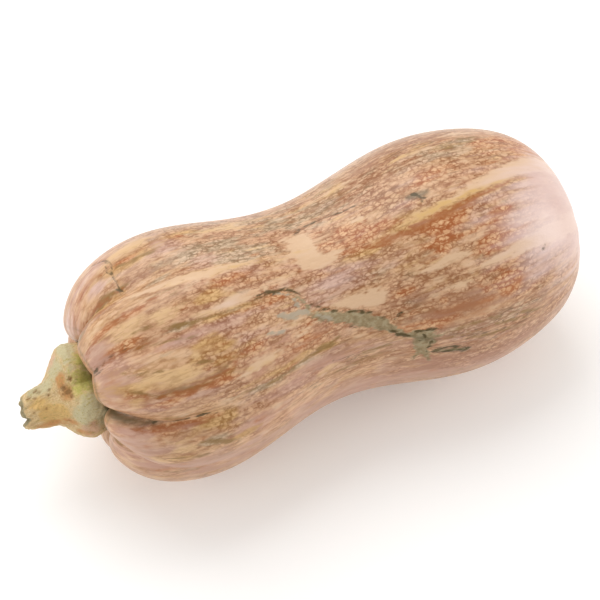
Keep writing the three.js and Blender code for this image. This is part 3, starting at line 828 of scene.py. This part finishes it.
def netted_rind():
    """The ripe rind of a butternut squash: a thin hard skin with a natural wax, grown not
    made. The wax gives the eye a broad dull gloss; the colour is in a net of fine cracks
    that healed as pale cells parted by rust brown lines, drawn out along the fruit."""
    material, tree, shader, out = fresh(
        "netted_rind", ("grain", "crease", *STROKES, *PATCHES))
    scatter(tree, out, {
        "fibres": (1.1, 12, 2), "streaks": (3.5, 24, 2), "drift": (12, 50, 2),
        "ragged": (1.6, 5, 3), "clumps": (2.6, 8, 2), "flecks": (1.2, 3.4, 2),
        "grit": (0.7, 1.1, 3), "blots": (1.8, 2.6, 3), "patchy": (4, 10, 2.5),
        "glows": (3, 10, 2), "reds": (4, 14, 3), "greens": (3.5, 12, 3), "golds": (4, 14, 3),
        "pinks": (4.5, 16, 3), "veins": (3.2, 26, 3)})
    mask(tree, out, {
        "tan": ("drift", 0.4, 0.62, 1),
        "light": ("streaks", 0.5, 0.66, 0.5),
        "dim": ("streaks", 0.48, 0.34, 0.4),
        "dense": ("patchy", 0.48, 0.3, 0.6),
        "bare": ("patchy", 0.52, 0.7, 0.8),
        "lilac_zone": ("lilac", "pinks", 2.6, 1.45, 2.3, 0.57),
        "olive_zone": ("olive", "greens", 2.6, 1.45, 2.3, 0.75),
        "amber_zone": ("amber", "golds", 2.6, 1.45, 2.3, 0.9),
        "ember_zone": ("ember", "reds", 2.6, 1.45, 2.3, 0.95),
        "straw_zone": ("straw", "golds", 2.2, 1.45, 2.1, 0.9),
        # painted shade on the bulb's underside, partly darker skin
        "shade_and_dark_skin_zone": ("shade_and_dark_skin", "streaks", 2.0, 1.2, 2.0, 0.75),
        "smooth_zone": ("smooth", "pinks", 2.0, 1.2, 2.2, 1),
        "drawn_zone": ("drawn", "pinks", 1.0, 0.7, 1.3, 1),
        # painted highlight over a pale wax bloom
        "bloom_and_highlight_zone": ("bloom_and_highlight", "streaks", 1.2, 0.65, 1.6, 0.7),
        "cream_mark": ("cream", "ragged", 7, 2.8, 5.0, 0.92),
        "rust_mark": ("rust", "ragged", 8, 2.9, 5.4, 0.8),
        "scar_mark": ("scar", "ragged", 6, 2.2, 3.8, 0.92),
        "healed_mark": ("healed", "ragged", 5, 1.9, 3.2, 0.85),
        "scar_light": ("blots", 0.48, 0.6, 0.85),
        "scar_dark": ("blots", 0.45, 0.36, 0.3),
        # painted shade in the crease bottoms, real dark marks elsewhere
        "dark_lines_and_shade_mark": ("dark_lines_and_shade", "ragged", 4, 1.6, 2.7, 0.9),
        "crack_mark": ("crack", "grit", 0.6, -0.2, 0.6, 0.9),
        # painted shade, with a few real dark spots
        "shade_and_dark_spots_mark": ("shade_and_dark_spots", "ragged", 3, -0.4, 3.4, 0.85),
        # painted shade: the skin darkens with a crease's depth
        "crease_shade": ("crease", "fibres", 0.7, 1.05, 1.4, 0.3),
        "fleck": ("flecks", 0.56, 0.68, 0.55),
        "pale_fleck": ("flecks", 0.43, 0.32, 0.45),
        "fibre": ("fibres", 0.52, 0.7, 0.35),
        "pale_fibre": ("fibres", 0.46, 0.3, 0.35),
        "fade": ("patchy", 0.66, 0.4, 1),
        "glow": ("glows", 0.36, 0.64, 0.6),
        "vein_low": ("veins", 0.475, 0.5, 1),
        "vein_high": ("veins", 0.5, 0.525, 1),
        "vein_here": ("veined", "patchy", 1, 0.7, 1.1, 0.75),
        "ochre_mark": ("ochre", "ragged", 4, 1.2, 2.9, 0.85)})

    # the net is pushed about by roughly a millimetre; its lines are thick in some places
    # and gone in others
    wander = add(
        tree, "TexNoise", {}, {"Scale": 1 / WANDER_SIZE, "Detail": 1.5},
        {"Vector": out["grain"]})
    pushed = add(
        tree, "VectorMath", {"operation": "MULTIPLY_ADD"}, {1: WANDER_PUSH},
        {0: wander.outputs["Color"], 2: out["grain"]})
    out["pushed"] = pushed.outputs[0]
    combine(tree, out, {
        "speck": ("MULTIPLY_ADD", "flecks", 0.3, -0.45),
        "width": ("MULTIPLY_ADD", "clumps", 0.42, "speck")})
    net(tree, out, "round", *ROUND_CELL)
    net(tree, out, "long", *LONG_CELL)
    for name in ("", "_tint"):
        chosen = add(
            tree, "Mix", {}, {},
            {0: out["drawn_zone"], NUMBER_A: out["round" + name],
             NUMBER_B: out["long" + name]})
        out["cell" + name] = chosen.outputs[0]

    combine(tree, out, {
        "rough": ("SUBTRACT", 1, "smooth_zone"),
        "lively": ("MULTIPLY_ADD", "drawn_zone", -0.7, 1),
        "crisp": ("MULTIPLY", "rough", "lively"),
        "gap": ("SUBTRACT", 1, "cell"),
        "hot": ("MULTIPLY", "ember_zone", 0.8),
        "dull": ("MULTIPLY", "fade", 0.82),
        "strong": ("MAXIMUM", "hot", "dull"),
        "pale": ("MULTIPLY", "straw_zone", 0.6),
        "calm": ("MULTIPLY", "drawn_zone", 0.4),
        "clear": ("MAXIMUM", "pale", "calm"),
        "marked": ("SUBTRACT", "strong", "clear"),
        "shown": ("MULTIPLY", "gap", "rough"),
        "line": ("MULTIPLY", "shown", "marked"),
        "cell_here": ("MULTIPLY", "cell", "rough"),
        "lit_cell": ("MULTIPLY", "cell_here", "glow"),
        "tinted": ("MULTIPLY", "cell_here", "cell_tint"),
        "pale_cell": ("MULTIPLY", "tinted", 0.7),
        "hot_cells": ("MULTIPLY", "cell_here", "ember_zone"),
        "hot_cell": ("MULTIPLY", "hot_cells", 0.36),
        "light_scar": ("MULTIPLY", "scar_mark", "scar_light"),
        "dark_scar": ("MULTIPLY", "scar_mark", "scar_dark"),
        "gold_mark": ("MULTIPLY", "cream_mark", "amber_zone"),
        "scar_rough": ("MULTIPLY", "scar_mark", "grit"),
        "flecked": ("MULTIPLY", "fleck", "crisp"),
        "pale_flecked": ("MULTIPLY", "pale_fleck", "crisp"),
        "dark_fibre": ("MULTIPLY", "fibre", "rough"),
        "light_fibre": ("MULTIPLY", "pale_fibre", "rough"),
        "vein_edge": ("SUBTRACT", "vein_low", "vein_high"),
        "vein": ("MULTIPLY", "vein_edge", "vein_here"),
        "dulled": ("MULTIPLY_ADD", "scar_mark", SCAR_DULLNESS, WAX_ROUGHNESS)})
    out["line_colour"] = paint(tree, out, "8e5a34", (
        ("806a46", "olive_zone"), ("906048", "lilac_zone"), ("96662c", "amber_zone"),
        ("9c5220", "ember_zone")))
    out["cell_colour"] = paint(tree, out, "dab08a", (
        ("d8bea0", "olive_zone"), ("d6b09e", "lilac_zone"), ("deb47c", "amber_zone"),
        ("e4b688", "ember_zone")))
    rind = paint(tree, out, "c29070", (
        ("c09468", "tan"), ("d4aa84", "light"), ("a8764e", "dim"), ("a4744a", "dense"),
        ("d8b490", "bare"), ("ba9082", "lilac_zone"), ("b29a7e", "olive_zone"),
        ("bc9058", "amber_zone"), ("b4703e", "ember_zone"), ("dcb686", "straw_zone"),
        ("9a6644", "shade_and_dark_skin_zone"), ("line_colour", "line"), ("cell_colour", "lit_cell"),
        ("cell_colour", "hot_cell"), ("cell_colour", "pale_cell"), ("line_colour", "flecked"),
        ("cell_colour", "pale_flecked"), ("line_colour", "dark_fibre"),
        ("cell_colour", "light_fibre"), ("6a5030", "vein"), ("8c6a36", "ochre_mark"),
        ("9e5a26", "rust_mark"), ("dab692", "cream_mark"), ("d0a662", "gold_mark"),
        ("e2c8c2", "bloom_and_highlight_zone"), ("806038", "crease_shade"), ("94825f", "scar_mark"),
        ("a89878", "light_scar"), ("5c4c2c", "dark_scar"), ("aa9c86", "healed_mark"),
        ("5e5434", "shade_and_dark_spots_mark"), ("4a3a10", "dark_lines_and_shade_mark"), ("54421e", "crack_mark")))
    tree.links.new(rind, shader.inputs["Base Color"])
    emboss(tree, shader, out, (
        ("patchy", 0.25), ("fibres", 0.06), ("flecks", 0.05), ("cell_here", 0.02),
        ("scar_rough", 0.18)))
    tree.links.new(out["dulled"], shader.inputs["Roughness"])
    settle(shader, {"IOR": PLANT_IOR})
    return material


def corky_stalk():
    """The dried stalk left on a picked squash: pale dead cork over woody fibres, gone grey
    green on its smooth lobes. It is quite dull; bits of moss and brown rot sit in the
    hollows."""
    material, tree, shader, out = fresh(
        "corky_stalk", ("grain", "valley", "contact", "tip", *STEM_PATCHES))
    scatter(tree, out, {
        "fibres": (0.8, 7, 4), "blots": (3, 5, 3), "pits": (1.2, 2, 4), "grit": (0.5, 0.8, 3)})
    mask(tree, out, {
        "fibre": ("fibres", 0.5, 0.68, 0.5),
        "pale_fibre": ("fibres", 0.46, 0.34, 0.6),
        "blotch": ("blots", 0.46, 0.64, 0.65),
        "pit": ("pits", 0.58, 0.7, 0.5),
        "gritty": ("grit", 0.5, 0.68, 0.3),
        # grey weathering, and painted shade on the shaft's upper side
        "grey_and_shade_zone": ("grey", "blots", 1, 0.8, 1.3, 0.85),
        "gold_zone": ("gold", "blots", 1, 0.85, 1.25, 0.8),
        "blush_zone": ("blush", "blots", 1, 0.85, 1.25, 0.7),
        "moss_zone": ("moss", "pits", 2.4, 1.2, 2.5, 0.9),
        "deep_moss": ("deep", "pits", 2.4, 1.3, 2.6, 0.6),
        # painted shade: a dark band round the stem's foot where the fruit's rim meets it
        "contact_shade": ("contact", "pits", 0.8, 0.8, 1.4, 0.75),
        "rot_zone": ("rot", "pits", 2.0, 1.1, 2.5, 0.95),
        # russet, and painted shade under the shaft
        "russet_and_underside_shade_zone": ("russet_and_underside_shade", "blots", 1.4, 1.1, 2, 0.9),
        "tip_zone": ("tip", "pits", 1, 0.9, 1.4, 0.9),
        # painted shade: a darker tone down the valleys between the stem's lobes at its foot
        "valley_shade": ("valley", "blots", 0.8, 0.9, 1.3, 0.4)})
    cork = paint(tree, out, "ceb080", (
        ("b89c72", "blotch"), ("b08e60", "fibre"), ("e2caa0", "pale_fibre"),
        ("d2aa66", "gold_zone"), ("cfa68c", "blush_zone"), ("bfb690", "grey_and_shade_zone"),
        ("a8946a", "valley_shade"), ("c08850", "russet_and_underside_shade_zone"), ("a88450", "pit"),
        ("b8b25c", "moss_zone"), ("98904c", "deep_moss"), ("7c5628", "rot_zone"),
        ("5c5230", "contact_shade"), ("8a8060", "tip_zone"), ("9a8258", "gritty")))
    tree.links.new(cork, shader.inputs["Base Color"])
    emboss(tree, shader, out, (("fibres", 0.25), ("pits", 0.35), ("grit", 0.12)))
    settle(shader, {"Roughness": CORK_ROUGHNESS, "IOR": PLANT_IOR})
    return material


skin = Skin(rings=340, columns=288)
fruit = grid_mesh("squash_skin", skin.points(skin_relief(skin)), skin_fields(skin))
fruit.data.materials.append(netted_rind())
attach(fruit, "root")
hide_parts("fruit")
stalk = Stem(rings=180, columns=240)
stalk_points = stalk.points(stem_relief(stalk), broken_tip(stalk))
stem = grid_mesh("corky_stem", stalk_points, stem_fields(stalk))
stem.data.materials.append(corky_stalk())
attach(stem, "root")
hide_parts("stem")

# ---- the table, the light and the camera ----

CAMERA_AZIMUTH = math.radians(-26)
CAMERA_HEIGHT = math.radians(52)
CAMERA_DISTANCE = 1000
MM_PER_PIXEL = 0.48
IMAGE_SIZE = 600
MIDDLE_PIXEL = (322, 299)
# metres: half the white sheet's side, and how far it lies under the fruit
SHEET_REACH, SHEET_DROP = 3, 0.0005
# name, place and size in metres, watts
LAMPS = [
    ("top_lamp", (-0.1, 0.55, 1.05), 1.0, 8), ("right_lamp", (0.95, -0.35, 0.32), 0.5, 3.6),
    ("left_lamp", (-0.95, 0.15, 0.35), 0.8, 2.2)]


def camera():
    """Looks down at the fruit's middle from the stem's side, with the middle off centre."""
    back = Vector((
        math.sin(CAMERA_AZIMUTH) * math.cos(CAMERA_HEIGHT),
        -math.cos(CAMERA_AZIMUTH) * math.cos(CAMERA_HEIGHT), math.sin(CAMERA_HEIGHT)))
    right = Vector((0, 0, 1)).cross(back).normalized()
    up = back.cross(right)
    data = bpy.data.cameras.new("camera")
    data.sensor_width = 36
    data.lens = data.sensor_width * CAMERA_DISTANCE / (MM_PER_PIXEL * IMAGE_SIZE)
    data.clip_start, data.clip_end = 0.05, 20
    seen = put("camera", data)
    half = IMAGE_SIZE / 2
    aside = (half - MIDDLE_PIXEL[0]) * MM_PER_PIXEL
    above = (MIDDLE_PIXEL[1] - half) * MM_PER_PIXEL
    place = Vector(AXIS_MIDDLE) + back * CAMERA_DISTANCE + right * aside + up * above
    seen.location = place * MM
    seen.rotation_mode = "QUATERNION"
    seen.rotation_quaternion = (-back).to_track_quat("-Z", "Y")
    bpy.context.scene.camera = seen


def studio():
    """A white sheet to lie on, an even white room and three large soft lamps."""
    corners = [
        (SHEET_REACH * x, SHEET_REACH * y, -SHEET_DROP)
        for x, y in ((-1, -1), (1, -1), (1, 1), (-1, 1))]
    mesh = bpy.data.meshes.new("table_sheet")
    mesh.from_pydata(corners, [], [(0, 1, 2, 3)])
    sheet = put("table_sheet", mesh)
    paper = bpy.data.materials.new("white_paper")
    paper.use_nodes = True
    settle(paper.node_tree.nodes["Principled BSDF"], {
        "Base Color": hue("f4f3f1"), "Roughness": 0.9, "Specular IOR Level": 0.1,
        "Emission Color": hue("ffffff"), "Emission Strength": 0.16})
    mesh.materials.append(paper)
    for name, place, size, watts in LAMPS:
        light = bpy.data.lights.new(name, "AREA")
        light.energy = watts
        light.size = size
        lamp = put(name, light)
        lamp.location = place
        lamp.rotation_mode = "QUATERNION"
        lamp.rotation_quaternion = Vector(place).to_track_quat("Z", "Y")
    world = bpy.data.worlds.new("white_room")
    world.use_nodes = True
    settle(world.node_tree.nodes["Background"], {"Color": hue("ffffff"), "Strength": 0.62})
    bpy.context.scene.world = world
    bpy.context.scene.view_settings.view_transform = "Standard"


camera()
studio()
